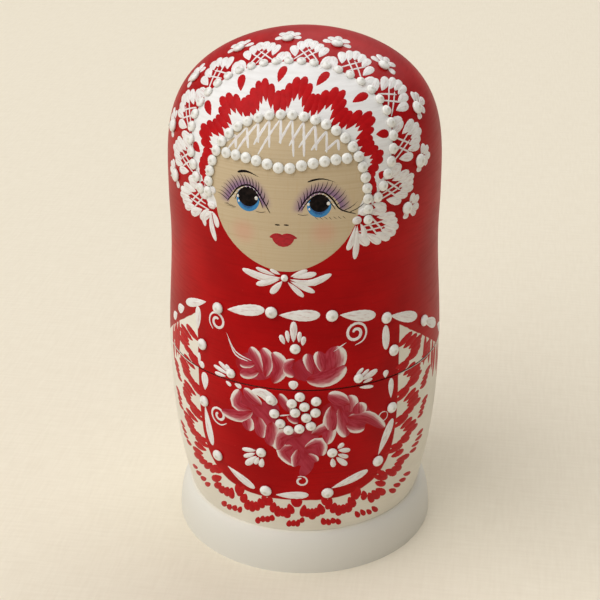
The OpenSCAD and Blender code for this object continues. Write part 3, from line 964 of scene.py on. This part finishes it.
white_lobe_shape = (0.3, 0.6)
lay_stroke(apron_strokes, bodies(white_lobe), 3.4, white_lobe_shape, height=0.14, cells=(10, 4), lift=0.1)
paint("apron_strokes", apron_strokes, white_paint)

# Leaves. Five leaves of rose and white lie round the berries, each made of overlapping lobes.
# The brush is loaded with white on one side, so that every lobe turns from rose to a white rim.
leaf_paint, wire, place, shader = start_material("leaf_paint", 0.42, 0.05, 0.1)
u, v = wire.marks()
hairs = brush_hairs(u, v, place, (1.6, 9.0), (0.4, 0.2, 0.3))
rim = v + u ** 4.0 * v.step(0.0, 0.1) * 0.35 + (hairs - 0.5) * 0.3
rose = hairs.step(0.3, 0.7).mix(srgb(152, 26, 42), srgb(174, 54, 70))
rose = u.step(0.0, 0.3).mix(srgb(156, 14, 24), rose)
rose = (rim.step(0.42, 0.85) * 0.65).mix(rose, srgb(200, 130, 136))
rim.step(0.7, 0.98).mix(rose, srgb(226, 217, 209)).feed(shader["Base Color"])
hairs.bump(0.12).feed(shader["Normal"])

lobes = [
    ([(-14.6, 70.2), (-3.0, 69.6)], 8.6, 0), ([(1.0, 69.4), (17.0, 71.6)], 8.8, 0),
    ([(-16.0, 58.6), (-2.0, 51.4)], 9.0, 0), ([(10.4, 57.6), (25.0, 51.8)], 9.6, 0),
    ([(5.0, 52.4), (4.4, 38.2)], 12.0, 0), ([(-12.5, 73.0), (-9.0, 70.5), (-5.5, 69.0)], 4.6, 0),
    ([(-8.4, 70.6), (-13.2, 69.4)], 2.6, 1), ([(-7.4, 68.4), (-13.2, 66.4)], 3.6, 1),
    ([(-6.0, 67.6), (-8.0, 72.0), (-9.8, 75.6)], 3.8, -1),
    ([(-5.4, 67.0), (-4.6, 72.0), (-6.2, 75.9)], 3.9, -1),
    ([(-3.2, 65.4), (-1.2, 70.5), (-3.2, 75.0)], 5.0, -1), ([(2.8, 73.2), (0.4, 70.6), (2.6, 67.8)], 3.4, -1),
    ([(8.0, 68.4), (6.2, 75.0)], 3.8, 1), ([(11.0, 69.0), (9.2, 75.6)], 3.9, 1),
    ([(14.0, 68.8), (14.6, 76.8)], 6.6, -1), ([(6.2, 66.8), (12.0, 67.4), (17.4, 70.2)], 5.8, -1),
    ([(-11.0, 57.4), (-5.5, 56.6), (-1.5, 57.6)], 5.0, 0),
    ([(-9.4, 55.4), (-14.4, 56.4), (-13.6, 61.4)], 4.2, 1),
    ([(-6.6, 57.6), (-9.5, 59.6), (-12.0, 62.2)], 3.6, -1),
    ([(-9.4, 55.2), (-13.5, 52.6), (-20.0, 52.2)], 4.0, 1), ([(-11.8, 54.6), (-10.4, 48.4)], 4.2, 1),
    ([(-7.8, 54.0), (-6.4, 46.9)], 4.4, 1), ([(-3.6, 52.8), (-3.8, 44.4)], 5.2, 1),
    ([(18.8, 58.0), (12.4, 62.2)], 4.4, -1), ([(18.4, 55.0), (18.5, 61.0)], 5.8, -1),
    ([(21.4, 52.8), (21.6, 58.0)], 5.2, -1), ([(18.0, 54.0), (24.0, 52.8), (30.4, 47.2)], 3.8, 1),
    ([(13.2, 58.2), (12.8, 48.8)], 4.4, -1), ([(15.4, 57.6), (17.6, 47.2)], 4.8, -1),
    ([(16.8, 51.8), (23.4, 48.8)], 4.2, -1), ([(4.8, 46.0), (6.6, 39.6), (4.6, 34.4)], 3.8, 0),
    ([(5.2, 49.4), (-0.8, 48.4), (-2.4, 43.4)], 4.8, -1), ([(2.8, 45.4), (-0.8, 43.0), (2.2, 38.4)], 3.6, -1),
    ([(3.8, 44.2), (2.4, 37.8)], 3.2, -1), ([(7.6, 49.2), (12.4, 50.8), (12.2, 45.4)], 4.4, 1),
    ([(5.6, 44.6), (9.8, 46.2), (10.8, 41.6)], 3.8, 1), ([(6.2, 42.6), (9.4, 39.8)], 2.8, 1),
    ([(1.4, 56.4), (-1.4, 62.2)], 2.8, -1), ([(0.8, 55.2), (3.8, 53.0)], 2.4, -1),
]
lobe_shape = (0.55, 0.45)
lobe_h = 0.08
bm = bmesh.new()
for i, (path, width, edge) in enumerate(lobes):
    lift = 0.03 * (1 + i % 4) if edge else 0.0
    lay_stroke(bm, bodies(path), width, lobe_shape, lobe_h, (12, 8), lift, edge)
paint("leaves", bm, leaf_paint)

# Lace. Round the apron the cream skirt has a scalloped edging of red dabs, which touches the apron between
# the scallops, with a slanting red sprig beyond every touch. Dry red strokes hang from the belt beside it.
lace = bmesh.new()
scallop = 9.0
scallop_rise = 5.2
scallop_dabs = 7
scallop_splay = 1.4
side_stretch = 0.5
lace_top_z = 73.5
lace_inset = 2.0
sprig_dabs = 4
sprig_start = -1.6
sprig_step = 1.3
sprig_out = 7.0
sprig_climb = 0.5
sprig_slant = 0.5
blunt = (0.7, 0.5)
edge_steps = 400
outline = []
for i in range(edge_steps + 1):
    angle = math.pi * i / edge_steps
    level = math.copysign(abs(math.cos(angle)) ** (2 / apron_power), math.cos(angle))
    depth = abs(math.sin(angle)) ** (2 / apron_power)
    outline.append(Vector((apron_shift + apron_half_w * level, seam_z - apron_drop * depth)))
outline.insert(0, Vector((apron_shift + apron_half_w, lace_top_z)))
outline.append(Vector((apron_shift - apron_half_w, lace_top_z)))
spans = [(b - a).length for a, b in zip(outline, outline[1:])]
scallops = round(sum(spans) / scallop)
scallop = sum(spans) / scallops


def beside_apron(distance, out, rise=0.0):
    """The point of the body at that distance along the apron's edge, from its right end, and that far outside
    it. Along the apron's upright sides it lies further out by the side stretch, and higher by that rise."""
    for a, b, span in zip(outline, outline[1:], spans):
        if distance <= span:
            break
        distance -= span
    way = (b - a).normalized()
    upright = abs(way.y)
    spot = a + way * distance + Vector((-way.y, way.x)) * out * (1 + side_stretch * upright)
    spot += Vector((0, rise * upright))
    return on_body(spot.x, spot.y)


for i in range(scallops):
    for j in range(scallop_dabs):
        share = (j + 0.5) / scallop_dabs
        out = scallop_rise * math.sin(math.pi * share) - lace_inset + hand.uniform(-0.5, 0.5)
        splay = (share - 0.5) * scallop_splay
        place_at = scallop * (i + share)
        root = beside_apron(place_at - splay, out, -0.3)
        tip = beside_apron(place_at + splay, out + hand.uniform(3.8, 5.2), 1.1)
        lay_stroke(lace, [root, tip], hand.uniform(2.3, 2.8), blunt, dab_h, (7, 4), lift=0.02 * (j % 2))
    if i == 0:
        continue
    upward = -1 if i < scallops / 2 else 1
    for j in range(sprig_dabs):
        place_at = scallop * i + upward * (sprig_step * j + sprig_start)
        out = sprig_out + sprig_climb * j + hand.uniform(-0.4, 0.4)
        root = beside_apron(place_at, out)
        tip = beside_apron(place_at + upward * sprig_slant, out + hand.uniform(2.6, 3.4))
        lay_stroke(lace, [root, tip], hand.uniform(1.7, 2.1), blunt, dab_h, (6, 4))
fringe_spots = [48 + 2.8 * i for i in range(6)] + [-40 - 2.0 * i for i in range(4)]
fringe_h = 0.06
for across in fringe_spots:
    top_z = belt_z - belt_slope * (abs(across - belt_middle) - belt_half_w)
    low_z = top_z - hand.uniform(8, 12)
    path = bodies([(across, top_z + 1), (across + hand.uniform(-1.2, 1.2), low_z)])
    lay_stroke(lace, path, hand.uniform(2.0, 2.8), spindle, fringe_h, (10, 4))
paint("lace", lace, red_dab)

# Smaller dolls. Each is painted like the largest one, so it takes the same drawings, joined for each half.
# The drops of relief paint are among them, smaller by the same share as the doll.
for k in range(2, doll_count + 1):
    for half, kept in paintings.items():
        bm = bmesh.new()
        for index, (drawing, _) in enumerate(kept):
            first = len(bm.faces)
            bm.from_mesh(drawing)
            bm.faces.ensure_lookup_table()
            for face in bm.faces[first:]:
                face.material_index = index
        body = f"doll_{k}_{half}" if k < doll_count else f"doll_{k}_solid"
        make_piece(f"painting_{k}_{half}", bm, k, body, [material for _, material in kept])
for kept in paintings.values():
    for drawing, _ in kept:
        bpy.data.meshes.remove(drawing)

# Floor, light and camera. The doll stands on a pale plain floor, under soft light from the upper left and a
# weaker light from behind. The camera looks down on it from the front, a little from its left hand's side.
floor_size = 6.0
floor_material, wire, _, shader = start_material("pale_floor", 0.85, 0.0)
spot = wire.node("TexCoord", {}, {}, "Object")
weave = (spot.grain((90.0, 900.0, 1.0), 2.0) + spot.grain((900.0, 90.0, 1.0), 2.0)) * 0.5
weave.step(0.2, 0.8).mix(srgb(230, 221, 202), srgb(223, 213, 193)).feed(shader["Base Color"])
bm = bmesh.new()
bmesh.ops.create_grid(bm, x_segments=1, y_segments=1, size=floor_size / 2)
mesh = bpy.data.meshes.new("floor")
bm.to_mesh(mesh)
bm.free()
mesh.materials.append(floor_material)
floor = bpy.data.objects.new("floor", mesh)
bpy.context.scene.collection.objects.link(floor)

world = bpy.data.worlds.new("studio")
world.use_nodes = True
sky = world.node_tree.nodes["Background"].inputs
sky["Color"].default_value = (1.0, 0.98, 0.95, 1.0)
sky["Strength"].default_value = 0.32
bpy.context.scene.world = world
aim = Vector((0, 0, 0.07))
lamps = [("key", (-1.5, -1.15, 2.45), 3.4, 88.0), ("back", (0.4, 1.7, 2.2), 2.6, 32.0)]
for name, spot, size, power in lamps:
    lamp = bpy.data.lights.new(name, "AREA")
    lamp.size = size
    lamp.energy = power
    lamp_object = bpy.data.objects.new(name, lamp)
    lamp_object.location = spot
    lamp_object.rotation_euler = (aim - Vector(spot)).to_track_quat("-Z", "Y").to_euler()
    bpy.context.scene.collection.objects.link(lamp_object)

camera_turn = math.radians(8)
camera_far = 0.3804
camera_high = 0.2573
camera_pitch = math.radians(26)
camera = bpy.data.cameras.new("camera")
camera.lens = 83.68
camera.sensor_width = 36.0
camera.shift_x = -0.008
camera_object = bpy.data.objects.new("camera", camera)
camera_object.location = (
    math.sin(camera_turn) * camera_far, -math.cos(camera_turn) * camera_far, camera_high)
camera_object.rotation_euler = (math.pi / 2 - camera_pitch, 0, camera_turn)
bpy.context.scene.collection.objects.link(camera_object)
bpy.context.scene.camera = camera_object
bpy.context.scene.view_settings.view_transform = "Standard"
